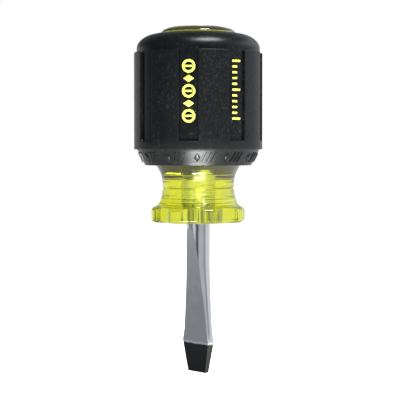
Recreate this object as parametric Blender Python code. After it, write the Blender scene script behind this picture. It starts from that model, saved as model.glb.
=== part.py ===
"""Stubby slotted screwdriver with a keystone blade and a cushioned handle.

The tool stands on its blade: the origin is the centre of the flat end of the blade, +Z runs up
the axis to the crown of the handle, and X is the direction of the blade's width.

Three pieces make the tool:
  blade_shank   one steel forging: round bar, ground keystone blade, anchor wings in the handle
  handle_core   clear cellulose acetate: fluted stock, turned to a flange, a neck and a crown
  cushion_grip  rubber sleeve over the core, with raised panels outside and keys inside
"""

import math

import bmesh
import bpy

MM = 0.001

# Overall heights above the end of the blade
FLANGE_BOTTOM = 38.1 * MM
CROWN_TOP = 87.3 * MM

# Blade and bar
BAR_RADIUS = 2.975 * MM
TIP_HALF_WIDTH = 3.175 * MM
TIP_HALF_THICKNESS = 0.55 * MM
SHOULDER_HEIGHT = 7.9 * MM
SHOULDER_HALF_WIDTH = 4.75 * MM
SHOULDER_HALF_THICKNESS = 1.0 * MM
FLARE_TOP = 28.5 * MM
GRIND_START = 7.9 * MM
GRIND_TOP = 37.1 * MM
BAR_END = 70.9 * MM
BAR_END_CHAMFER = 0.4 * MM
TIP_CHAMFER = 0.12 * MM

# Anchor wings, pinched out of the bar inside the handle
WING_LOW = 56.5 * MM
WING_HIGH = 66.0 * MM
WING_RAMP = 1.5 * MM
WING_HALF_WIDTH = 4.1 * MM
WING_HALF_THICKNESS = 2.15 * MM

# Handle core
FLUTES = 8
PITCH = 2 * math.pi / FLUTES
CORE_TURN = math.radians(-2.7)
LAND_RADIUS = 12.05 * MM
FLUTE_FLOOR = 11.1 * MM
FLUTE_CUTTER = 11.7 * MM
FLANGE_FILLET = 0.9 * MM
FLANGE_RIM_TOP = 40.75 * MM
FLANGE_ROUND_IN = 1.3 * MM
FLANGE_ROUND_UP = 1.25 * MM
NECK_START = 42.4 * MM
NECK_WAIST = 47.5 * MM
NECK_RADIUS = 9.0 * MM
NECK_LOWER_SWEEP = 11.5 * MM
NECK_UPPER_SWEEP = 7.8 * MM
BARREL_START = 53.8 * MM
BARREL_TOP = 81.5 * MM
CROWN_BASE = 84.0 * MM
CROWN_RADIUS = 9.25 * MM
CROWN_EDGE = 85.65 * MM
GAP = 0.3 * MM

# Rubber sleeve
GRIP_TURN = math.radians(-5.7)
SKIRT_BOTTOM = 52.4 * MM
SKIRT_RADIUS = 13.5 * MM
SKIRT_TOP = 56.35 * MM
SKIRT_TOP_RADIUS = 15.4 * MM
PANEL_RADIUS = 16.03 * MM
PANEL_CROWN = 0.14 * MM
PANEL_FULLEST = 64.0 * MM
GROOVE_RADIUS = 15.5 * MM
GROOVE_BOTTOM = 58.45 * MM
PANEL_TOP = 80.65 * MM
SHOULDER_BASE = 81.5 * MM
SHOULDER_RISE = 3.85 * MM
MOUTH_RADIUS = 9.6 * MM
LIP_HEIGHT = 0.1 * MM
GROOVE_HALF_ANGLE = math.radians(7.6)
PANEL_EDGE_ANGLE = math.radians(8.6)


def blade_half_thickness(z):
    """Half thickness of the ground blade: thin and flat at the tip, then swept up to the bar."""
    if z <= GRIND_START:
        share = z / GRIND_START
        return TIP_HALF_THICKNESS + (SHOULDER_HALF_THICKNESS - TIP_HALF_THICKNESS) * share
    share = min(1.0, (z - GRIND_START) / (GRIND_TOP - GRIND_START))
    return SHOULDER_HALF_THICKNESS + (BAR_RADIUS - SHOULDER_HALF_THICKNESS) * share ** 1.9


def blade_half_width(z):
    """Half width of the blade: the keystone outline, widest at its shoulder."""
    if z <= SHOULDER_HEIGHT:
        share = z / SHOULDER_HEIGHT
        return TIP_HALF_WIDTH + (SHOULDER_HALF_WIDTH - TIP_HALF_WIDTH) * share
    share = max(0.0, (FLARE_TOP - z) / (FLARE_TOP - SHOULDER_HEIGHT))
    return BAR_RADIUS + (SHOULDER_HALF_WIDTH - BAR_RADIUS) * share ** 1.25


def blade_ring(z, inset=0.0):
    """Outline of the blade at a height: two flat faces joined by rounded or square sides."""
    half_thickness = blade_half_thickness(z) - inset
    half_width = blade_half_width(z) - inset
    corner = math.asin(min(0.998, half_thickness / BAR_RADIUS))
    roundness = min(1.0, max(0.0, (z - SHOULDER_HEIGHT) / (2.4 * MM)))
    side = []
    for step in range(11):
        angle = corner * (step / 5 - 1)
        bulge = roundness * (1 - math.cos(angle))
        side.append((half_width * (1 - bulge), BAR_RADIUS * math.sin(angle)))
    corner_width = side[-1][0]
    flat = [(corner_width * (1 - 2 * step / 5), half_thickness) for step in range(1, 5)]
    outline = side + flat
    outline += [(-x, -y) for x, y in outline]
    return [(x, y, z) for x, y in outline]


def oval_ring(z, half_width, half_thickness, angles):
    """Rounded oval that is wider along X; a circle when both sizes agree."""
    power = 2.0 + 1.0 * (half_width - half_thickness) / half_width
    ring = []
    for angle in angles:
        across = abs(math.cos(angle)) / half_width
        through = abs(math.sin(angle)) / half_thickness
        radius = (across ** power + through ** power) ** (-1 / power)
        ring.append((radius * math.cos(angle), radius * math.sin(angle), z))
    return ring


def wing_rings(extra, angles):
    """Rings along the anchor wings, bottom to top, grown outwards by extra."""
    bar = (BAR_RADIUS + extra, BAR_RADIUS + extra)
    wing = (WING_HALF_WIDTH + extra, WING_HALF_THICKNESS + extra)
    stops = ((WING_LOW, bar), (WING_LOW + WING_RAMP, wing), (WING_HIGH - WING_RAMP, wing), (WING_HIGH, bar))
    return [oval_ring(z, size[0], size[1], angles) for z, size in stops]


def core_angles():
    """Directions round the core, with a point on every flute edge and down every flute."""
    steps = [math.radians(degrees) for degrees in (-16, -10.5, -5.5, 0, 5.5, 10.5, 16, 22.5)]
    return [CORE_TURN + flute * PITCH + step for flute in range(FLUTES) for step in steps]


def grip_angles():
    """Directions round the sleeve's outside, with a point on both edges of every groove wall."""
    edge = PANEL_EDGE_ANGLE
    floor = GROOVE_HALF_ANGLE
    middle = PITCH / 2
    steps = (-edge, -floor, 0, floor, edge, middle - math.radians(7), middle, middle + math.radians(7))
    return [GRIP_TURN + groove * PITCH + step for groove in range(FLUTES) for step in steps]


def stock_radius(angle, extra=0.0):
    """Radius of the fluted stock in one direction, grown outwards by extra."""
    from_flute = (angle - CORE_TURN + PITCH / 2) % PITCH - PITCH / 2
    cutter = FLUTE_CUTTER - extra
    centre = FLUTE_FLOOR + FLUTE_CUTTER
    reach = cutter ** 2 - (centre * math.sin(from_flute)) ** 2
    if reach <= 0:
        return LAND_RADIUS + extra
    return min(LAND_RADIUS + extra, centre * math.cos(from_flute) - math.sqrt(reach))


def neck_radius(z):
    """Radius of the turned finger neck: two sweeps that meet at the waist."""
    sweep = NECK_LOWER_SWEEP if z < NECK_WAIST else NECK_UPPER_SWEEP
    return NECK_RADIUS + sweep - math.sqrt(sweep ** 2 - (z - NECK_WAIST) ** 2)


def turned_ring(z, radius, angles, extra=0.0):
    """Ring of the fluted stock, turned down to a radius."""
    ring = []
    for angle in angles:
        reach = min(radius, stock_radius(angle, extra))
        ring.append((reach * math.cos(angle), reach * math.sin(angle), z))
    return ring


def add_piece(name, rings, closed, colour, roughness, metallic, sharp_degrees):
    """Skin a list of rings into one closed body, with its own material."""
    mesh_data = bpy.data.meshes.new(name)
    piece = bpy.data.objects.new(name, mesh_data)
    bpy.context.collection.objects.link(piece)
    shape = bmesh.new()
    loops = [[shape.verts.new(point) for point in ring] for ring in rings]
    pairs = list(zip(loops, loops[1:]))
    if closed:
        pairs.append((loops[-1], loops[0]))
    count = len(loops[0])
    for lower, upper in pairs:
        for index in range(count):
            after = (index + 1) % count
            shape.faces.new((lower[index], lower[after], upper[after], upper[index]))
    if not closed:
        shape.faces.new(list(reversed(loops[0])))
        shape.faces.new(loops[-1])
    bmesh.ops.recalc_face_normals(shape, faces=shape.faces)
    shape.to_mesh(mesh_data)
    shape.free()
    mesh_data.shade_smooth()
    mesh_data.set_sharp_from_angle(angle=math.radians(sharp_degrees))
    material = bpy.data.materials.new(name)
    material.use_nodes = True
    shader = material.node_tree.nodes["Principled BSDF"]
    shader.inputs["Base Color"].default_value = (colour[0], colour[1], colour[2], 1.0)
    shader.inputs["Roughness"].default_value = roughness
    shader.inputs["Metallic"].default_value = metallic
    mesh_data.materials.append(material)
    return piece


def build_blade_shank():
    """Round bar, ground to a keystone blade below and pinched into wings inside the handle."""
    heights = (0.5, 2.5, 5.0, 7.0, 7.9, 8.4, 9.1, 10.0, 11.5, 13.0, 15.0, 17.0, 19.5, 22.5,
               25.5, 28.5, 31.0, 33.0, 34.5, 35.7, 36.5)
    rings = [blade_ring(0.0, TIP_CHAMFER)]
    rings += [blade_ring(height * MM) for height in heights]
    angles = [math.radians(-60 + 12 * step) for step in range(30)]
    rings.append(oval_ring(GRIND_TOP, BAR_RADIUS, BAR_RADIUS, angles))
    rings += wing_rings(0.0, angles)
    rings.append(oval_ring(BAR_END - BAR_END_CHAMFER, BAR_RADIUS, BAR_RADIUS, angles))
    end_radius = BAR_RADIUS - BAR_END_CHAMFER
    rings.append(oval_ring(BAR_END, end_radius, end_radius, angles))
    return add_piece("blade_shank", rings, False, (0.55, 0.56, 0.58), 0.16, 1.0, 30)


def build_handle_core():
    """Clear core: the socket is skinned from its blind end down, then the outside going up."""
    angles = core_angles()
    socket = BAR_RADIUS + GAP
    rings = [oval_ring(BAR_END + GAP, socket, socket, angles)]
    rings += reversed(wing_rings(GAP, angles))
    rings.append(oval_ring(FLANGE_BOTTOM, socket, socket, angles))
    for step in range(4):
        turn = math.pi / 2 * step / 3
        inset = FLANGE_FILLET * (1 - math.sin(turn))
        rise = FLANGE_FILLET * (1 - math.cos(turn))
        ring = []
        for angle in angles:
            reach = stock_radius(angle) - inset
            ring.append((reach * math.cos(angle), reach * math.sin(angle), FLANGE_BOTTOM + rise))
        rings.append(ring)
    for degrees in (0, 25, 48, 68, 85):
        turn = math.radians(degrees)
        radius = LAND_RADIUS - FLANGE_ROUND_IN * (1 - math.cos(turn))
        rings.append(turned_ring(FLANGE_RIM_TOP + FLANGE_ROUND_UP * math.sin(turn), radius, angles))
    for step in range(11):
        z = NECK_START + (BARREL_START - NECK_START) * step / 10
        rings.append(turned_ring(z, neck_radius(z), angles))
    rings.append(turned_ring(BARREL_START + 1.0 * MM, LAND_RADIUS, angles))
    for share in (0.0, 0.25, 0.55, 1.0):
        z = BARREL_TOP + (CROWN_BASE - BARREL_TOP) * share
        radius = LAND_RADIUS + (CROWN_RADIUS - LAND_RADIUS) * share
        rings.append(turned_ring(z, radius, angles))
    for share in (1.0, 0.98, 0.92, 0.8, 0.5, 0.2):
        radius = CROWN_RADIUS * share
        z = CROWN_EDGE + (CROWN_TOP - CROWN_EDGE) * math.sqrt(1 - share ** 2.8)
        rings.append(turned_ring(z, radius, angles))
    return add_piece("handle_core", rings, False, (0.72, 0.80, 0.08), 0.12, 0.0, 35)


def build_cushion_grip():
    """Sleeve: up the grooved outside, over the shoulder and lip, and back down the keyed bore."""
    outer = grip_angles()
    inner = core_angles()

    def outside(z, panel, groove=None):
        ring = []
        for index, angle in enumerate(outer):
            in_groove = groove is not None and 1 <= index % 8 <= 3
            radius = groove if in_groove else panel
            ring.append((radius * math.cos(angle), radius * math.sin(angle), z))
        return ring

    rings = [outside(SKIRT_BOTTOM, SKIRT_RADIUS - 0.25 * MM)]
    rings.append(outside(SKIRT_BOTTOM + 0.25 * MM, SKIRT_RADIUS))
    rings.append(outside(SKIRT_TOP, SKIRT_TOP_RADIUS))
    rings.append(outside(SKIRT_TOP + 0.05 * MM, PANEL_RADIUS - 0.15 * MM))
    rings.append(outside(SKIRT_TOP + 0.2 * MM, PANEL_RADIUS))
    rings.append(outside(GROOVE_BOTTOM - 0.1 * MM, PANEL_RADIUS))
    rings.append(outside(GROOVE_BOTTOM, PANEL_RADIUS, GROOVE_RADIUS))
    rings.append(outside(PANEL_FULLEST, PANEL_RADIUS + PANEL_CROWN, GROOVE_RADIUS))
    rings.append(outside(PANEL_TOP - 0.15 * MM, PANEL_RADIUS, GROOVE_RADIUS))
    rings.append(outside(PANEL_TOP, PANEL_RADIUS - 0.15 * MM, GROOVE_RADIUS))
    rings.append(outside(PANEL_TOP + 0.05 * MM, GROOVE_RADIUS))
    for step in range(8):
        turn = math.radians(84) * step / 7
        radius = MOUTH_RADIUS + (GROOVE_RADIUS - MOUTH_RADIUS) * math.cos(turn)
        rings.append(outside(SHOULDER_BASE + SHOULDER_RISE * math.sin(turn), radius))
    lip_top = SHOULDER_BASE + SHOULDER_RISE + LIP_HEIGHT
    rings.append(outside(lip_top - 0.05 * MM, MOUTH_RADIUS + 0.45 * MM))
    rings.append(outside(lip_top, MOUTH_RADIUS + 0.2 * MM))
    rings.append(turned_ring(lip_top - 0.2 * MM, MOUTH_RADIUS, inner, GAP))

    # The bore follows the core a gap away: its slope down from the crown, then its flutes
    run = CROWN_BASE - BARREL_TOP
    drop = LAND_RADIUS - CROWN_RADIUS
    slant = math.hypot(run, drop)
    for radius in (MOUTH_RADIUS, FLUTE_FLOOR + GAP, 11.9 * MM, LAND_RADIUS + GAP):
        z = BARREL_TOP + (GAP * slant + (LAND_RADIUS - radius) * run) / drop
        rings.append(turned_ring(z, radius, inner, GAP))
    rings.append(turned_ring(SKIRT_BOTTOM + 0.15 * MM, LAND_RADIUS + GAP, inner, GAP))
    rings.append(turned_ring(SKIRT_BOTTOM, LAND_RADIUS + GAP + 0.15 * MM, inner, GAP + 0.15 * MM))
    return add_piece("cushion_grip", rings, True, (0.012, 0.013, 0.012), 0.62, 0.0, 35)


for leftover in list(bpy.data.objects):
    bpy.data.objects.remove(leftover, do_unlink=True)

build_blade_shank()
build_handle_core()
build_cushion_grip()
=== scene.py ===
"""Stubby keystone-tip screwdriver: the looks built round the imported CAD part.

Metres, +Z up the tool's axis, origin at the end of the blade, X along the blade's width.
"""

import math
import random

import bmesh
import bpy
import numpy as np
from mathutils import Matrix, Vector


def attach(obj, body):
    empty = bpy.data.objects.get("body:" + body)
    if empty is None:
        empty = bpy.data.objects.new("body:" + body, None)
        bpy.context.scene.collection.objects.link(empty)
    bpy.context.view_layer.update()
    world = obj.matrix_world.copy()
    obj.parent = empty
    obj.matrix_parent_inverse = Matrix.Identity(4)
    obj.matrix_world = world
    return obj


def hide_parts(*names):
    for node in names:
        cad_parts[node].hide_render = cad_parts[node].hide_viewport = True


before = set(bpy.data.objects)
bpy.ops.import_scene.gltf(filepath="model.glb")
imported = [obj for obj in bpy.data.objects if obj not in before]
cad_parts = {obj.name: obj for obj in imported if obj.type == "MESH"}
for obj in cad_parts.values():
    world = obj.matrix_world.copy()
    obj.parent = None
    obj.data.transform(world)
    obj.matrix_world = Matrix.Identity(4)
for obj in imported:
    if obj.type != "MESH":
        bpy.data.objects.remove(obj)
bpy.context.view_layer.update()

MM = 0.001

# Camera: degrees round the tool, half of its field in degrees, and metres
CAMERA_AZIMUTH = 47.8
CAMERA_HALF_FIELD = 8.246
CAMERA_DISTANCE = 0.34845
CAMERA_HEIGHT = 0.0575
CAMERA_AIM_HEIGHT = 0.04358
CAMERA_TO_RIGHT = 0.00045

# Sizes of the CAD part that the finer pieces repeat, in millimetres
FLANGE_BOTTOM = 38.1
CROWN_TOP = 87.28
BAR_RADIUS = 2.975
TIP_HALF_WIDTH = 3.175
TIP_HALF_THICKNESS = 0.55
SHOULDER_HEIGHT = 7.9
SHOULDER_HALF_WIDTH = 4.75
SHOULDER_HALF_THICKNESS = 1.0
FLARE_TOP = 28.5
GRIND_START = 7.9
GRIND_TOP = 37.1
BAR_END = 70.9
WING_LOW = 56.5
WING_HIGH = 66.0
WING_RAMP = 1.5
WING_HALF_WIDTH = 4.1
WING_HALF_THICKNESS = 2.15
FLUTES = 8
PITCH = 2 * math.pi / FLUTES
CORE_TURN = math.radians(-2.7)
LAND_RADIUS = 12.05
FLUTE_FLOOR = 11.1
FLUTE_CUTTER = 11.7
FLANGE_FILLET = 0.9
FLANGE_RIM_TOP = 40.75
FLANGE_ROUND_IN = 1.3
FLANGE_ROUND_UP = 1.25
NECK_START = 42.4
NECK_WAIST = 47.5
NECK_RADIUS = 9.0
NECK_LOWER_SWEEP = 11.5
NECK_UPPER_SWEEP = 7.8
BARREL_START = 53.8
BARREL_TOP = 81.5
CROWN_BASE = 84.0
CROWN_RADIUS = 9.25
CROWN_EDGE = 85.65
GRIP_TURN = math.radians(-5.7)
SKIRT_BOTTOM = 52.4
SKIRT_RADIUS = 13.5
SKIRT_TOP = 56.35
SKIRT_TOP_RADIUS = 15.4
PANEL_RADIUS = 16.15
GROOVE_RADIUS = 15.5
GROOVE_BOTTOM = 58.45
PANEL_TOP = 80.65
SHOULDER_BASE = 81.5
SHOULDER_RISE = 3.85
MOUTH_RADIUS = 9.6
LIP_TOP = 85.45
MOUTH_FLOOR = 84.9
GROOVE_HALF_ANGLE = math.radians(8.3)

# Sizes that only the looks have, in millimetres
BLADE_FLAT_STEPS = 16
BLADE_SIDE_STEPS = 32
SOCKET_FIT = -0.012     # the clear core grips the bar
BORE_FIT = -0.015       # the rubber grips the core
# tool marks in the neck: height, half width and depth
NECK_MARKS = ((43.2, 0.13, 0.15), (44.2, 0.15, 0.19), (45.2, 0.12, 0.12), (46.6, 0.19, 0.26),
              (48.8, 0.12, 0.06), (50.1, 0.12, 0.08))
FINE_MARKS = 26
# lip round the crown: distance out from the mouth, and rise above the shoulder
LIP_PROFILE = ((1.0, 0.0), (0.86, 0.015), (0.74, 0.045), (0.6, 0.075), (0.45, 0.095), (0.32, 0.1),
               (0.2, 0.09), (0.1, 0.06), (0.03, 0.0), (0.0, -0.08))
CROWN_RINGS = (1.0, 0.997, 0.99, 0.975, 0.95, 0.92, 0.88, 0.82, 0.75, 0.66, 0.56, 0.45, 0.33, 0.2, 0.08,
               0.01)
MARK_THICKNESS = 0.15
RIB_THICKNESS = 0.24
RIB_MIDDLE = 54.35

# Where the finishes, the painted shade on the bar and the painted sheen on the skirt start and end, in
# metres up the tool's axis
BLACK_END = (0.0076, 0.0074)
BARE_RIM_FROM = (0.0074, 0.00755)
BARE_RIM_TO = (0.00785, 0.00765)
# where the painted shade streaks on the bar start and end
SHADE_STREAKS_FROM = (0.0383, 0.0388)
SHADE_STREAKS_TO = (0.0430, 0.0412)
CLEAN_PLATING_FROM = (0.0405, 0.0440)
# where the painted sheen on the skirt starts
SKIRT_SHEEN_FROM = (0.0592, 0.0562)
# and by radius, where the grain of the panels starts
GRAIN_FROM = (0.01580, 0.01605)


# ---------------------------------------------------------------- mesh helpers
def surface(name, grid, closed=False, sharp_degrees=40):
    """Object from a grid of points in millimetres, shaped (rings, points round, 3)."""
    grid = np.asarray(grid, float)
    rings, count, _ = grid.shape
    faces = []
    last = rings if closed else rings - 1
    for ring in range(last):
        low = ring * count
        high = ((ring + 1) % rings) * count
        for index in range(count):
            after = (index + 1) % count
            faces.append((low + index, low + after, high + after, high + index))
    if not closed:
        faces.append(tuple(reversed(range(count))))
        faces.append(tuple(range((rings - 1) * count, rings * count)))
    mesh = bpy.data.meshes.new(name)
    mesh.from_pydata((grid.reshape(-1, 3) * MM).tolist(), [], faces)
    shape = bmesh.new()
    shape.from_mesh(mesh)
    bmesh.ops.recalc_face_normals(shape, faces=shape.faces)
    shape.to_mesh(mesh)
    shape.free()
    mesh.shade_smooth()
    mesh.set_sharp_from_angle(angle=math.radians(sharp_degrees))
    piece = bpy.data.objects.new(name, mesh)
    bpy.context.scene.collection.objects.link(piece)
    return piece


def polar_ring(radii, angles, z):
    radii = np.broadcast_to(radii, angles.shape)
    return np.stack([radii * np.cos(angles), radii * np.sin(angles), np.broadcast_to(z, angles.shape)], 1)


# ---------------------------------------------------------------- blade and bar
def half_thickness_at(z):
    if z <= GRIND_START:
        return TIP_HALF_THICKNESS + (SHOULDER_HALF_THICKNESS - TIP_HALF_THICKNESS) * z / GRIND_START
    share = min(1.0, (z - GRIND_START) / (GRIND_TOP - GRIND_START))
    return SHOULDER_HALF_THICKNESS + (BAR_RADIUS - SHOULDER_HALF_THICKNESS) * share ** 1.9


def half_width_at(z):
    if z <= SHOULDER_HEIGHT:
        return TIP_HALF_WIDTH + (SHOULDER_HALF_WIDTH - TIP_HALF_WIDTH) * z / SHOULDER_HEIGHT
    share = max(0.0, (FLARE_TOP - z) / (FLARE_TOP - SHOULDER_HEIGHT))
    return BAR_RADIUS + (SHOULDER_HALF_WIDTH - BAR_RADIUS) * share ** 1.25


def blade_ring(z, inset=0.0):
    half_thickness = half_thickness_at(z) - inset
    half_width = half_width_at(z) - inset
    corner = math.asin(min(0.9995, half_thickness / BAR_RADIUS))
    roundness = min(1.0, max(0.0, (z - SHOULDER_HEIGHT) / 2.4))
    angle = corner * np.linspace(-1, 1, BLADE_SIDE_STEPS + 1)
    side = np.stack([half_width * (1 - roundness * (1 - np.cos(angle))), BAR_RADIUS * np.sin(angle)], 1)
    flat_x = side[-1, 0] * (1 - 2 * np.arange(1, BLADE_FLAT_STEPS) / BLADE_FLAT_STEPS)
    flat = np.stack([flat_x, np.full(BLADE_FLAT_STEPS - 1, half_thickness)], 1)
    outline = np.concatenate([side, flat])
    outline = np.concatenate([outline, -outline])
    return np.column_stack([outline, np.full(len(outline), z)])


def oval_ring(z, half_width, half_thickness, angles):
    power = 2.0 + (half_width - half_thickness) / half_width
    across = np.abs(np.cos(angles)) / half_width
    through = np.abs(np.sin(angles)) / half_thickness
    radius = (across ** power + through ** power) ** (-1 / power)
    return polar_ring(radius, angles, z)


def wing_size(z, extra=0.0):
    ramp = min(z - WING_LOW, WING_HIGH - z) / WING_RAMP
    ramp = min(1.0, max(0.0, ramp))
    ramp = ramp * ramp * (3 - 2 * ramp)
    width = BAR_RADIUS + (WING_HALF_WIDTH - BAR_RADIUS) * ramp
    thickness = BAR_RADIUS + (WING_HALF_THICKNESS - BAR_RADIUS) * ramp
    return width + extra, thickness + extra


WING_HEIGHTS = [WING_LOW + WING_RAMP * step / 5 for step in range(6)]
WING_HEIGHTS += [WING_HIGH - WING_RAMP * (1 - step / 5) for step in range(6)]


def build_steel():
    """The forging: keystone blade, round bar and the wings that anchor it."""
    heights = [0.12, 0.3] + [0.5 * step for step in range(1, 15)]
    heights += [7.2, 7.4, 7.6, 7.75, 7.9, 8.0, 8.15, 8.3, 8.5, 8.75, 9.0, 9.3]
    heights += list(np.arange(9.6, GRIND_TOP - 0.3, 0.4))
    rings = [blade_ring(0.0, 0.12)] + [blade_ring(z) for z in sorted(heights)]
    # directions that run in the same order as the blade's outline
    first = blade_ring(GRIND_TOP - 0.01)
    angles = np.unwrap(np.arctan2(first[:, 1], first[:, 0]))
    even = angles[0] + 2 * math.pi * np.arange(len(angles)) / len(angles)
    rings.append(first)
    for share in (0.35, 0.7, 1.0):
        rings.append(polar_ring(BAR_RADIUS, angles + (even - angles) * share, GRIND_TOP + 0.8 * share))
    rings += [oval_ring(z, *wing_size(z), even) for z in WING_HEIGHTS]
    rings.append(polar_ring(BAR_RADIUS, even, BAR_END - 0.4))
    rings.append(polar_ring(BAR_RADIUS - 0.4, even, BAR_END))
    return surface("steel_forging", rings, sharp_degrees=28)


# ---------------------------------------------------------------- clear core
def stock_radius(angles, extra=0.0):
    """Radius of the fluted stock, with the flute edges slightly rounded."""
    off = (angles - CORE_TURN + PITCH / 2) % PITCH - PITCH / 2
    cutter = FLUTE_CUTTER - extra
    centre = FLUTE_FLOOR + FLUTE_CUTTER
    reach = np.maximum(cutter ** 2 - (centre * np.sin(off)) ** 2, 0.0)
    flute = centre * np.cos(off) - np.sqrt(reach)
    flute = np.where(reach <= 0, 99.0, flute)
    land = LAND_RADIUS + extra
    blend = 0.22
    overlap = np.clip(0.5 + 0.5 * (land - flute) / blend, 0, 1)
    return flute * overlap + land * (1 - overlap) - blend * overlap * (1 - overlap)


def neck_radius(z):
    sweep = NECK_LOWER_SWEEP if z < NECK_WAIST else NECK_UPPER_SWEEP
    return NECK_RADIUS + sweep - math.sqrt(sweep ** 2 - (z - NECK_WAIST) ** 2)


def turning_marks(z, marks):
    """Depth of the tool marks left in the neck at a height."""
    depth = 0.0
    for place, width, deep in marks:
        depth += deep * math.exp(-((z - place) / width) ** 2)
    return depth


def build_core():
    """Clear handle: socket round the bar, flange, turned neck, fluted barrel and crown."""
    draw = random.Random(11)
    marks = list(NECK_MARKS)
    marks += [(draw.uniform(42.6, 53.0), 0.07, draw.uniform(0.006, 0.016)) for _ in range(FINE_MARKS)]

    spread = np.linspace(-0.5, 0.5, 41)[:-1]
    angles = np.concatenate([CORE_TURN + PITCH * (flute + spread) for flute in range(FLUTES)])
    stock = stock_radius(angles)

    rings = [polar_ring(BAR_RADIUS + SOCKET_FIT, angles, BAR_END - 0.02)]
    for z in reversed(WING_HEIGHTS):
        width, thickness = wing_size(z, SOCKET_FIT)
        rings.append(oval_ring(z, width, thickness, angles))
    rings.append(polar_ring(BAR_RADIUS + SOCKET_FIT, angles, FLANGE_BOTTOM + 0.35))
    rings.append(polar_ring(BAR_RADIUS + 0.12, angles, FLANGE_BOTTOM))
    rings.append(polar_ring(BAR_RADIUS + 1.2, angles, FLANGE_BOTTOM))
    rings.append(polar_ring(stock - FLANGE_FILLET - 1.0, angles, FLANGE_BOTTOM))
    for step in range(9):
        turn = math.pi / 2 * step / 8
        inset = FLANGE_FILLET * (1 - math.sin(turn))
        rings.append(polar_ring(stock - inset, angles, FLANGE_BOTTOM + FLANGE_FILLET * (1 - math.cos(turn))))

    def turned(z, radius, soft=0.08):
        """The stock turned down to a radius, with a slightly eased edge where they meet."""
        overlap = np.clip(0.5 + 0.5 * (radius - stock) / soft, 0, 1)
        eased = stock * overlap + radius * (1 - overlap) - soft * overlap * (1 - overlap)
        return polar_ring(eased, angles, z)

    rings.append(turned(FLANGE_RIM_TOP - 0.25, LAND_RADIUS + 0.1))
    for turn in np.radians(np.linspace(0, 85, 14)):
        radius = LAND_RADIUS - FLANGE_ROUND_IN * (1 - math.cos(turn))
        rings.append(turned(FLANGE_RIM_TOP + FLANGE_ROUND_UP * math.sin(turn), radius))
    for z in np.arange(NECK_START, BARREL_START, 0.06):
        rings.append(turned(z, neck_radius(z) - turning_marks(z, marks)))
    for z in (BARREL_START + 0.3, BARREL_START + 1.2, 60.0, 70.0, BARREL_TOP - 1.0):
        rings.append(turned(z, LAND_RADIUS + 0.1))
    for share in np.linspace(0, 1, 13):
        radius = LAND_RADIUS + (CROWN_RADIUS - LAND_RADIUS) * share
        rings.append(turned(BARREL_TOP + (CROWN_BASE - BARREL_TOP) * share, radius))
    for share in CROWN_RINGS:
        z = CROWN_EDGE + (CROWN_TOP - CROWN_EDGE) * math.sqrt(max(0.0, 1 - share ** 2.8))
        # the sawn and tumbled end isn't quite even
        uneven = 0.05 * np.sin(3 * angles + 0.6) + 0.03 * np.sin(7 * angles + 2.0)
        uneven = uneven + 0.02 * np.sin(13 * angles)
        uneven = uneven * 4 * share * (1 - share)
        rings.append(polar_ring(CROWN_RADIUS * share, angles, z + uneven))
    return surface("acetate_core", rings, sharp_degrees=50)


# ---------------------------------------------------------------- rubber sleeve
EDGE_STOPS = (-0.35, -0.12, -0.03, 0.0, 0.015, 0.04, 0.08, 0.13, 0.2, 0.35)


def raised_height(distance):
    """Height of a panel above its groove, by distance inside the panel's edge."""
    wall = np.clip(distance / 0.04, 0, 1)
    bow = np.clip(distance / 0.2, 0, 1)
    return (PANEL_RADIUS - GROOVE_RADIUS) * (0.55 * wall + 0.45 * np.sqrt(1 - (1 - bow) ** 2))


def panel_distance(across, z):
    """Distance inside the raised area: panels and the band below them, with eased corners."""
    beside = np.abs(across) - GROOVE_HALF_ANGLE * GROOVE_RADIUS
    below = GROOVE_BOTTOM - z
    above = PANEL_TOP - z
    ease = 0.35
    joined = np.maximum(beside, below)
    inner = np.hypot(np.maximum(ease + beside, 0), np.maximum(ease + below, 0)) - ease
    joined = np.where((beside < 0) & (below < 0), np.maximum(joined, inner), joined)
    corner = ease - np.hypot(np.maximum(ease - joined, 0), np.maximum(ease - above, 0))
    both = (joined < ease) & (above < ease)
    return np.where(both, corner, np.minimum(joined, above))


def grip_angles():
    half = GROOVE_HALF_ANGLE * GROOVE_RADIUS
    panel_half = PITCH / 2 * GROOVE_RADIUS
    stops = [0.0, half - 1.5, half - 0.8] + [half + stop for stop in EDGE_STOPS]
    stops += [half + 0.8, half + 1.5, half + 2.4, half + 3.3]
    stops = sorted(stop for stop in stops if stop >= 0)
    across = sorted({-stop for stop in stops} | set(stops) | {panel_half})
    across = np.array(across)
    angles = np.concatenate([GRIP_TURN + flute * PITCH + across / GROOVE_RADIUS for flute in range(FLUTES)])
    return angles, np.tile(across, FLUTES)


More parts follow.
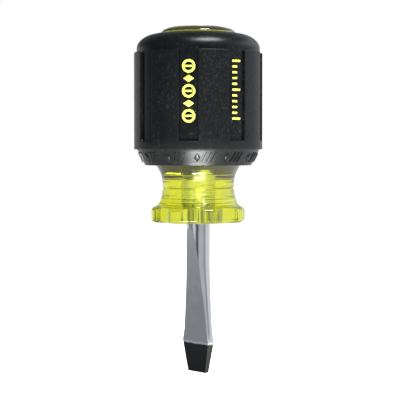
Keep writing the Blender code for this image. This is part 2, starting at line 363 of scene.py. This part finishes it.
def build_grip():
    """Sleeve: ribbed outside, shoulder and lip, and a bore that hugs the core."""
    angles, across = grip_angles()
    rings = []

    def plain(radius, z):
        rings.append(polar_ring(radius, angles, z))

    for turn in np.linspace(0, math.pi / 2, 5):
        plain(SKIRT_RADIUS - 0.25 + 0.25 * math.sin(turn), SKIRT_BOTTOM + 0.25 * (1 - math.cos(turn)))
    for share in np.linspace(0.12, 0.97, 8):
        plain(SKIRT_RADIUS + (SKIRT_TOP_RADIUS - SKIRT_RADIUS) * share,
              SKIRT_BOTTOM + 0.25 + (SKIRT_TOP - SKIRT_BOTTOM - 0.25) * share)
    plain(SKIRT_TOP_RADIUS, SKIRT_TOP - 0.03)
    plain(SKIRT_TOP_RADIUS + 0.06, SKIRT_TOP)
    for turn in np.linspace(0, math.pi / 2, 6):
        plain(PANEL_RADIUS - 0.16 + 0.16 * math.sin(turn), SKIRT_TOP + 0.16 * (1 - math.cos(turn)))
    heights = [56.9, 57.4, 57.9]
    heights += [GROOVE_BOTTOM - stop for stop in EDGE_STOPS]
    heights += list(np.linspace(GROOVE_BOTTOM + 0.8, PANEL_TOP - 0.8, 18))
    heights += [PANEL_TOP - stop for stop in EDGE_STOPS]
    for z in sorted(heights):
        distance = panel_distance(across, np.full(len(across), z))
        rings.append(polar_ring(GROOVE_RADIUS + raised_height(distance), angles, z))
    for turn in np.radians(np.linspace(0, 80, 26)):
        radius = MOUTH_RADIUS + (GROOVE_RADIUS - MOUTH_RADIUS) * math.cos(turn)
        plain(radius, SHOULDER_BASE + SHOULDER_RISE * math.sin(turn))
    for place, rise in LIP_PROFILE:
        base = SHOULDER_BASE + SHOULDER_RISE * math.sqrt(1 - (place / (GROOVE_RADIUS - MOUTH_RADIUS)) ** 2)
        plain(MOUTH_RADIUS + place, min(base + rise, LIP_TOP))
    plain(MOUTH_RADIUS, MOUTH_FLOOR)
    run = CROWN_BASE - BARREL_TOP
    drop = LAND_RADIUS - CROWN_RADIUS
    stock = stock_radius(angles, BORE_FIT)
    for radius in np.linspace(MOUTH_RADIUS, LAND_RADIUS + BORE_FIT, 10):
        z = BARREL_TOP + (LAND_RADIUS - radius) * run / drop + 0.2
        rings.append(polar_ring(np.minimum(radius, stock), angles, z))
    rings.append(polar_ring(stock, angles, 70.0))
    rings.append(polar_ring(stock, angles, BARREL_START + 0.6))
    # below the barrel the bore opens a little, clear of the neck
    opened = stock_radius(angles, 0.3)
    rings.append(polar_ring(opened, angles, BARREL_START))
    rings.append(polar_ring(opened, angles, SKIRT_BOTTOM + 0.15))
    rings.append(polar_ring(stock_radius(angles, 0.45), angles, SKIRT_BOTTOM))
    return surface("rubber_sleeve", rings, closed=True, sharp_degrees=48)


# ---------------------------------------------------------------- raised marks
SUNK = -0.4


class Marks:
    """Collects small raised shapes on a turned surface, sharing one mesh."""

    def __init__(self, name, reach, thickness):
        self.name = name
        self.reach = reach
        self.thickness = thickness
        self.angle = 0.0
        self.points = []
        self.faces = []

    def place(self, across, z, height):
        """A point on the surface, or above it by a share of the marks' thickness."""
        radius = self.reach(z)
        angle = self.angle + across / radius
        radius += self.thickness * height
        self.points.append((radius * math.cos(angle), radius * math.sin(angle), z))

    def plate(self, outline, z):
        """A filled shape with eased edges, from its outline about its middle."""
        base = len(self.points)
        count = len(outline)
        for size, height in ((1.0, SUNK), (1.0, 0.6), (0.86, 1.0)):
            for across, up in outline:
                self.place(across * size, z + up * size, height)
        self.place(0.0, z, 1.0)
        for ring in range(2):
            for step in range(count):
                after = (step + 1) % count
                low = base + ring * count
                self.faces.append((low + step, low + after, low + count + after, low + count + step))
        top = base + 2 * count
        self.faces += [(top + step, top + (step + 1) % count, base + 3 * count) for step in range(count)]
        self.faces.append(tuple(base + step for step in reversed(range(count))))

    def strip(self, path, half_width, z):
        """A stroke along a path of (across, up) points, closed and with eased edges."""
        stops = ((-1, SUNK), (-1, 0.6), (-0.86, 1.0), (-0.4, 1.0), (0.4, 1.0), (0.86, 1.0), (1, 0.6),
                 (1, SUNK))
        base = len(self.points)
        for index, point in enumerate(path):
            before = path[max(0, index - 1)]
            after = path[min(len(path) - 1, index + 1)]
            way = Vector((after[0] - before[0], after[1] - before[1])).normalized()
            for share, height in stops:
                off = share * half_width
                self.place(point[0] - way.y * off, z + point[1] + way.x * off, height)
        count = len(stops)
        for index in range(len(path) - 1):
            for step in range(count):
                after = (step + 1) % count
                low = base + index * count
                self.faces.append((low + step, low + after, low + count + after, low + count + step))
        self.faces.append(tuple(base + step for step in reversed(range(count))))
        end = base + (len(path) - 1) * count
        self.faces.append(tuple(end + step for step in range(count)))

    def bar(self, start, end, half_width, z):
        path = [(start[0] + (end[0] - start[0]) * step / 6, start[1] + (end[1] - start[1]) * step / 6)
                for step in range(7)]
        self.strip(path, half_width, z)

    def ring(self, radius, half_width, z):
        turns = [math.radians(360 * step / 40) for step in range(41)]
        self.strip([(radius * math.cos(turn), radius * math.sin(turn)) for turn in turns], half_width, z)

    def build(self):
        mesh = bpy.data.meshes.new(self.name)
        mesh.from_pydata([[value * MM for value in point] for point in self.points], [], self.faces)
        shape = bmesh.new()
        shape.from_mesh(mesh)
        bmesh.ops.recalc_face_normals(shape, faces=shape.faces)
        shape.to_mesh(mesh)
        shape.free()
        mesh.shade_smooth()
        mesh.set_sharp_from_angle(angle=math.radians(50))
        piece = bpy.data.objects.new(self.name, mesh)
        bpy.context.scene.collection.objects.link(piece)
        return piece


def build_marks():
    """Generic yellow marks: slotted screw heads and diamonds, and a small tick scale."""
    main = Marks("mark_large", lambda z: GROOVE_RADIUS, MARK_THICKNESS)
    main.angle = GRIP_TURN - PITCH
    for z in (64.5, 70.5, 76.5):
        main.ring(1.34, 0.29, z)
        main.bar((-0.88, 0.0), (0.88, 0.0), 0.24, z)
    for z in (67.5, 73.5):
        main.plate([(-1.35, 0.0), (0.0, -0.85), (1.35, 0.0), (0.0, 0.85)], z)
    small = Marks("mark_small", lambda z: GROOVE_RADIUS, MARK_THICKNESS)
    small.angle = GRIP_TURN
    for step in range(11):
        length = 2.3 if step % 5 == 0 else 1.35
        small.bar((-1.15, 0.0), (-1.15 + length, 0.0), 0.26, 63.9 + 1.4 * step)
    return main.build(), small.build()


def build_skirt_ribs():
    """Raised diamonds and slanted ribs moulded round the skirt."""
    slope = (SKIRT_TOP_RADIUS - SKIRT_RADIUS) / (SKIRT_TOP - SKIRT_BOTTOM)
    ribs = Marks("skirt_ribs", lambda z: SKIRT_RADIUS + slope * (z - SKIRT_BOTTOM), RIB_THICKNESS)
    for group in range(12):
        ribs.angle = GRIP_TURN + PITCH / 2 + group * math.pi / 6
        ribs.plate([(-0.75, 0.0), (0.0, -1.1), (0.75, 0.0), (0.0, 1.1)], RIB_MIDDLE)
        for step in range(3):
            ribs.angle += math.radians(7.2 if step == 0 else 4.4)
            ribs.bar((-0.45, -1.15), (0.45, 1.15), 0.2, RIB_MIDDLE)
    return ribs.build()


# ---------------------------------------------------------------- materials
def material(name):
    made = bpy.data.materials.new(name)
    made.use_nodes = True
    tree = made.node_tree
    return made, tree, tree.nodes["Principled BSDF"]


def node(tree, kind, **inputs):
    made = tree.nodes.new(kind)
    for key, value in inputs.items():
        if hasattr(made, key):
            setattr(made, key, value)
        else:
            made.inputs[key.replace("_", " ")].default_value = value
    return made


def noise(tree, coordinates, scale, detail=4.0, rough=0.55):
    made = node(tree, "ShaderNodeTexNoise", Scale=scale, Detail=detail, Roughness=rough)
    tree.links.new(coordinates, made.inputs["Vector"])
    return made.outputs["Fac"]


def ramp(tree, value, low, high, out_low=0.0, out_high=1.0):
    made = node(tree, "ShaderNodeMapRange", clamp=True)
    made.inputs["From Min"].default_value = low
    made.inputs["From Max"].default_value = high
    made.inputs["To Min"].default_value = out_low
    made.inputs["To Max"].default_value = out_high
    tree.links.new(value, made.inputs["Value"])
    return made.outputs["Result"]


def math_node(tree, operation, first, second=None):
    made = node(tree, "ShaderNodeMath", operation=operation)
    for index, value in enumerate((first, second)):
        if value is None:
            continue
        if isinstance(value, (int, float)):
            made.inputs[index].default_value = value
        else:
            tree.links.new(value, made.inputs[index])
    return made.outputs[0]


def mix_colour(tree, factor, first, second):
    made = node(tree, "ShaderNodeMix", data_type="RGBA")
    made.inputs[0].default_value = 0.5
    for index, value in ((0, factor), (6, first), (7, second)):
        if isinstance(value, (int, float)):
            made.inputs[index].default_value = value
        elif isinstance(value, tuple):
            made.inputs[index].default_value = (*value, 1.0)
        else:
            tree.links.new(value, made.inputs[index])
    return made.outputs[2]


def bump(tree, height, distance, strength, shader):
    made = node(tree, "ShaderNodeBump")
    made.inputs["Strength"].default_value = strength
    made.inputs["Distance"].default_value = distance
    tree.links.new(height, made.inputs["Height"])
    tree.links.new(made.outputs["Normal"], shader.inputs["Normal"])


def coordinates(tree, scale=(1, 1, 1)):
    place = tree.nodes.new("ShaderNodeTexCoord").outputs["Object"]
    mapping = node(tree, "ShaderNodeMapping")
    mapping.inputs["Scale"].default_value = scale
    tree.links.new(place, mapping.inputs["Vector"])
    return mapping.outputs["Vector"]


def height_and_radius(tree):
    place = tree.nodes.new("ShaderNodeTexCoord").outputs["Object"]
    split = tree.nodes.new("ShaderNodeSeparateXYZ")
    tree.links.new(place, split.inputs[0])
    squares = math_node(tree, "ADD", math_node(tree, "POWER", split.outputs[0], 2.0),
                        math_node(tree, "POWER", split.outputs[1], 2.0))
    return split.outputs[2], math_node(tree, "SQRT", squares)


def steel_material():
    made, tree, shader = material("steel_chrome_and_black")
    shader.inputs["Specular IOR Level"].default_value = 0.17
    height, _ = height_and_radius(tree)
    wobble = noise(tree, coordinates(tree), 700.0, 3.0)
    shifted = math_node(tree, "ADD", height, math_node(tree, "MULTIPLY", wobble, 0.0004))
    black = ramp(tree, shifted, *BLACK_END)
    rim = math_node(tree, "MULTIPLY", ramp(tree, shifted, *BARE_RIM_FROM), ramp(tree, shifted, *BARE_RIM_TO))
    smudge = noise(tree, coordinates(tree), 260.0, 5.0)
    streak = noise(tree, coordinates(tree, (1, 1, 0.03)), 5200.0, 3.0)
    # the blade is finished in chrome, with a blackened end and a bare rim between them
    chrome = mix_colour(tree, smudge, (0.585, 0.625, 0.65), (0.66, 0.69, 0.715))
    chrome = mix_colour(tree, rim, chrome, (0.62, 0.66, 0.67))
    dark = mix_colour(tree, noise(tree, coordinates(tree), 900.0, 6.0), (0.004, 0.005, 0.006),
                      (0.010, 0.012, 0.013))
    # inside the handle the plating stays clean and bright
    chrome = mix_colour(tree, ramp(tree, height, *CLEAN_PLATING_FROM), chrome, (0.68, 0.71, 0.74))
    # painted shade: dark streaks painted on the bar where it enters the handle, standing in for the bar's
    # dark reflections seen through the flange
    shade_band = math_node(tree, "MULTIPLY", ramp(tree, height, *SHADE_STREAKS_FROM), ramp(tree, height, *SHADE_STREAKS_TO))
    shade_streak_noise = noise(tree, coordinates(tree, (1, 1, 0.06)), 1500.0, 3.0)
    painted_shade = math_node(tree, "MULTIPLY", shade_band, ramp(tree, shade_streak_noise, 0.42, 0.58, 0.0, 0.95))
    chrome = mix_colour(tree, painted_shade, chrome, (0.17, 0.20, 0.16))
    # the coat is thin on the narrow sides
    facing = tree.nodes.new("ShaderNodeSeparateXYZ")
    tree.links.new(tree.nodes.new("ShaderNodeTexCoord").outputs["Normal"], facing.inputs[0])
    side = ramp(tree, math_node(tree, "ABSOLUTE", facing.outputs[0]), 0.7, 0.95)
    dark = mix_colour(tree, side, dark, (0.04, 0.044, 0.034))
    tree.links.new(mix_colour(tree, black, chrome, dark), shader.inputs["Base Color"])
    polish = ramp(tree, streak, 0.3, 0.7, 0.07, 0.15)
    polish = math_node(tree, "ADD", polish, ramp(tree, smudge, 0.45, 0.75, 0.0, 0.07))
    satin = ramp(tree, streak, 0.3, 0.7, 0.36, 0.5)
    rough = node(tree, "ShaderNodeMix", data_type="FLOAT")
    tree.links.new(black, rough.inputs[0])
    tree.links.new(polish, rough.inputs[2])
    tree.links.new(satin, rough.inputs[3])
    tree.links.new(rough.outputs[0], shader.inputs["Roughness"])
    tree.links.new(ramp(tree, black, 0.0, 1.0, 1.0, 0.25), shader.inputs["Metallic"])
    bump(tree, streak, 0.00002, 0.12, shader)
    return made


def acetate_material():
    made, tree, shader = material("acetate_yellow_green")
    shader.inputs["Transmission Weight"].default_value = 0.975
    shader.inputs["IOR"].default_value = 1.478
    haze = noise(tree, coordinates(tree), 420.0, 4.0)
    tint = mix_colour(tree, haze, (0.94, 0.965, 0.30), (0.96, 0.985, 0.38))
    tree.links.new(tint, shader.inputs["Base Color"])
    tree.links.new(ramp(tree, haze, 0.35, 0.75, 0.02, 0.07), shader.inputs["Roughness"])
    lathe = noise(tree, coordinates(tree, (0.15, 0.15, 1.0)), 5200.0, 2.0)
    bump(tree, lathe, 0.00002, 0.10, shader)
    absorb = node(tree, "ShaderNodeVolumeAbsorption")
    absorb.inputs["Color"].default_value = (0.87, 0.88, 0.02, 1.0)
    absorb.inputs["Density"].default_value = 140.0
    tree.links.new(absorb.outputs[0], tree.nodes["Material Output"].inputs["Volume"])
    return made


def rubber_material():
    made, tree, shader = material("rubber_black")
    shader.inputs["Specular IOR Level"].default_value = 0.19
    height, radius = height_and_radius(tree)
    panel = ramp(tree, radius, *GRAIN_FROM)
    fine = noise(tree, coordinates(tree), 2300.0, 4.0, 0.65)
    cloudy = noise(tree, coordinates(tree), 170.0, 5.0, 0.6)
    colour = mix_colour(tree, cloudy, (0.0008, 0.0014, 0.0017), (0.0024, 0.0032, 0.0034))
    dust = ramp(tree, noise(tree, coordinates(tree), 1500.0, 5.0, 0.75), 0.52, 0.72)
    dust = math_node(tree, "MULTIPLY", dust, ramp(tree, cloudy, 0.35, 0.65, 0.03, 0.13))
    colour = mix_colour(tree, dust, colour, (0.16, 0.17, 0.16))
    # painted sheen: the skirt is painted a little greyer than the rest, standing in for the light it
    # reflects
    painted_skirt_sheen = ramp(tree, height, *SKIRT_SHEEN_FROM, 0.0, 0.03)
    colour = mix_colour(tree, painted_skirt_sheen, colour, (0.16, 0.165, 0.155))
    tree.links.new(colour, shader.inputs["Base Color"])
    smooth = ramp(tree, cloudy, 0.3, 0.7, 0.30, 0.38)
    grained = ramp(tree, fine, 0.35, 0.65, 0.34, 0.46)
    rough = node(tree, "ShaderNodeMix", data_type="FLOAT")
    tree.links.new(panel, rough.inputs[0])
    tree.links.new(smooth, rough.inputs[2])
    tree.links.new(grained, rough.inputs[3])
    tree.links.new(rough.outputs[0], shader.inputs["Roughness"])
    depth = math_node(tree, "MULTIPLY", fine, ramp(tree, panel, 0.0, 1.0, 0.18, 1.0))
    bump(tree, depth, 0.00010, 0.5, shader)
    return made


def paint_material():
    made, tree, shader = material("paint_yellow")
    worn = noise(tree, coordinates(tree), 1500.0, 4.0)
    colour = mix_colour(tree, worn, (0.52, 0.56, 0.07), (0.62, 0.66, 0.11))
    tree.links.new(colour, shader.inputs["Base Color"])
    tree.links.new(ramp(tree, worn, 0.3, 0.7, 0.38, 0.55), shader.inputs["Roughness"])
    bump(tree, worn, 0.00004, 0.4, shader)
    return made


# ---------------------------------------------------------------- stage and light
def build_floor():
    bpy.ops.mesh.primitive_circle_add(vertices=96, radius=1.2, fill_type="NGON", location=(0, 0, 0))
    floor = bpy.context.object
    floor.name = "floor"
    made, tree, shader = material("floor_pale")
    place = tree.nodes.new("ShaderNodeTexCoord").outputs["Object"]
    length = node(tree, "ShaderNodeVectorMath", operation="LENGTH")
    tree.links.new(place, length.inputs[0])
    shader.inputs["Roughness"].default_value = 0.9
    shader.inputs["Specular IOR Level"].default_value = 0.1
    shade = mix_colour(tree, noise(tree, place, 8.0), (0.90, 0.90, 0.90), (0.93, 0.93, 0.93))
    tree.links.new(shade, shader.inputs["Base Color"])
    shader.inputs["Emission Color"].default_value = (1.0, 1.0, 1.0, 1.0)
    shader.inputs["Emission Strength"].default_value = 0.7
    clear = tree.nodes.new("ShaderNodeBsdfTransparent")
    mixer = tree.nodes.new("ShaderNodeMixShader")
    # the tool's gloss and glass look past the floor, at the studio round it
    path = tree.nodes.new("ShaderNodeLightPath")
    solid = math_node(tree, "MULTIPLY", path.outputs["Is Camera Ray"],
                      ramp(tree, length.outputs["Value"], 1.0, 0.35))
    tree.links.new(math_node(tree, "SUBTRACT", 1.0, solid), mixer.inputs[0])
    tree.links.new(shader.outputs[0], mixer.inputs[1])
    tree.links.new(clear.outputs[0], mixer.inputs[2])
    tree.links.new(mixer.outputs[0], tree.nodes["Material Output"].inputs["Surface"])
    floor.data.materials.append(made)


def direction(side_degrees, rise_degrees):
    """Unit vector towards a place seen from the tool: side 0 is the camera's side, + to its right."""
    turn = math.radians(side_degrees - 90 + CAMERA_AZIMUTH)
    rise = math.radians(rise_degrees)
    return Vector((math.cos(turn) * math.cos(rise), math.sin(turn) * math.cos(rise), math.sin(rise)))


def area_light(name, side, rise, distance, size, power, aim=(0, 0, 0.05)):
    data = bpy.data.lights.new(name, "AREA")
    data.shape = "RECTANGLE"
    data.size, data.size_y = size
    data.energy = power
    lamp = bpy.data.objects.new(name, data)
    bpy.context.scene.collection.objects.link(lamp)
    lamp.location = Vector(aim) + direction(side, rise) * distance
    lamp.rotation_mode = "QUATERNION"
    lamp.rotation_quaternion = (lamp.location - Vector(aim)).to_track_quat("Z", "Y")
    return lamp


# brightness of the studio round the tool, by degrees to the right of the camera's side
LEVEL_BAND = ((-180, 0.95), (-128, 0.95), (-108, 0.32), (-70, 0.26), (-50, 0.55), (-42, 1.05), (-27, 0.5),
              (-13, 0.03), (-4, 0.05), (6, 0.45), (17, 0.58), (48, 0.58), (58, 0.38), (70, 0.42), (84, 0.88),
              (110, 0.82), (135, 0.95), (180, 0.95))
UPPER_BAND = ((-180, 0.3), (-110, 0.15), (-70, 0.25), (-40, 0.4), (0, 0.45), (40, 0.5), (70, 1.4),
              (110, 2.2), (150, 0.9), (180, 0.3))
LOWER_BAND = ((-180, 0.95), (-110, 0.7), (-70, 0.6), (-35, 0.6), (0, 0.6), (30, 0.7), (60, 1.3),
              (100, 1.5), (140, 1.3), (180, 0.95))


def azimuth_band(tree, share, stops):
    band = node(tree, "ShaderNodeValToRGB")
    tree.links.new(share, band.inputs[0])
    elements = band.color_ramp.elements
    while len(elements) > 1:
        elements.remove(elements[-1])
    elements[0].position = 0.0
    elements[0].color = (stops[0][1], stops[0][1], stops[0][1] * 1.03, 1)
    for degrees, value in stops[1:]:
        element = elements.new(0.5 + degrees / 360)
        element.color = (value, value, value * 1.03, 1)
    return band.outputs[0]


def build_world():
    world = bpy.data.worlds.new("studio")
    bpy.context.scene.world = world
    world.use_nodes = True
    tree = world.node_tree
    background = tree.nodes["Background"]
    way = tree.nodes.new("ShaderNodeTexCoord").outputs["Generated"]
    turned = node(tree, "ShaderNodeVectorRotate")
    turned.rotation_type = "Z_AXIS"
    turned.inputs["Angle"].default_value = math.radians(90 - CAMERA_AZIMUTH)
    tree.links.new(way, turned.inputs["Vector"])
    split = tree.nodes.new("ShaderNodeSeparateXYZ")
    tree.links.new(turned.outputs[0], split.inputs[0])
    azimuth = math_node(tree, "ARCTAN2", split.outputs[1], split.outputs[0])
    share = ramp(tree, azimuth, -math.pi, math.pi)
    height = split.outputs[2]
    room = azimuth_band(tree, share, LEVEL_BAND)
    room = mix_colour(tree, ramp(tree, height, -0.19, -0.27), room, azimuth_band(tree, share, LOWER_BAND))
    room = mix_colour(tree, ramp(tree, height, 0.10, 0.20), room, azimuth_band(tree, share, UPPER_BAND))
    room = mix_colour(tree, ramp(tree, height, 0.5, 0.7), room, (0.13, 0.13, 0.14))
    path = tree.nodes.new("ShaderNodeLightPath")
    # what is seen through the clear handle is brighter and more even
    through = math_node(tree, "MULTIPLY", path.outputs["Is Transmission Ray"], 0.75)
    glow = mix_colour(tree, ramp(tree, split.outputs[0], -0.1, 0.5), (1.05, 1.05, 1.05), (1.7, 1.7, 1.7))
    room = mix_colour(tree, through, room, glow)
    shown = mix_colour(tree, path.outputs["Is Camera Ray"], room, (1.0, 1.0, 1.0))
    tree.links.new(shown, background.inputs["Color"])
    background.inputs["Strength"].default_value = 1.0


def build_camera():
    data = bpy.data.cameras.new("camera")
    data.sensor_width = 36.0
    data.lens = data.sensor_width / 2 / math.tan(math.radians(CAMERA_HALF_FIELD))
    data.clip_start = 0.01
    data.clip_end = 20.0
    camera = bpy.data.objects.new("camera", data)
    bpy.context.scene.collection.objects.link(camera)
    right = direction(90, 0) * CAMERA_TO_RIGHT
    camera.location = direction(0, 0) * CAMERA_DISTANCE + Vector((0, 0, CAMERA_HEIGHT)) + right
    target = Vector((0, 0, CAMERA_AIM_HEIGHT)) + right
    camera.rotation_mode = "QUATERNION"
    camera.rotation_quaternion = (camera.location - target).to_track_quat("Z", "Y")
    bpy.context.scene.camera = camera


steel = build_steel()
core = build_core()
sleeve = build_grip()
mark_large, mark_small = build_marks()
ribs = build_skirt_ribs()

steel.data.materials.append(steel_material())
core.data.materials.append(acetate_material())
rubber = rubber_material()
sleeve.data.materials.append(rubber)
ribs.data.materials.append(rubber)
paint = paint_material()
for mark in (mark_large, mark_small):
    mark.data.materials.append(paint)

for piece, replaced in ((steel, "blade_shank"), (core, "handle_core"), (sleeve, "cushion_grip")):
    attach(piece, "root")
    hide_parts(replaced)
for mark in (mark_large, mark_small, ribs):
    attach(mark, "root")

build_floor()
build_world()
area_light("overhead", 30, 65, 0.8, (0.40, 0.32), 15.0)
# a small card low in front of the tool, which the skirt reflects
card = area_light("floor_card", 0, -90, 0.05, (0.046, 0.013), 0.31,
                  aim=direction(2, 0) * 0.064 + Vector((0, 0, 0.0505)))
card.rotation_mode = "XYZ"
card.rotation_euler = (math.pi, 0.0, math.radians(CAMERA_AZIMUTH))
card.visible_camera = False
build_camera()
bpy.context.scene.view_settings.view_transform = "Standard"
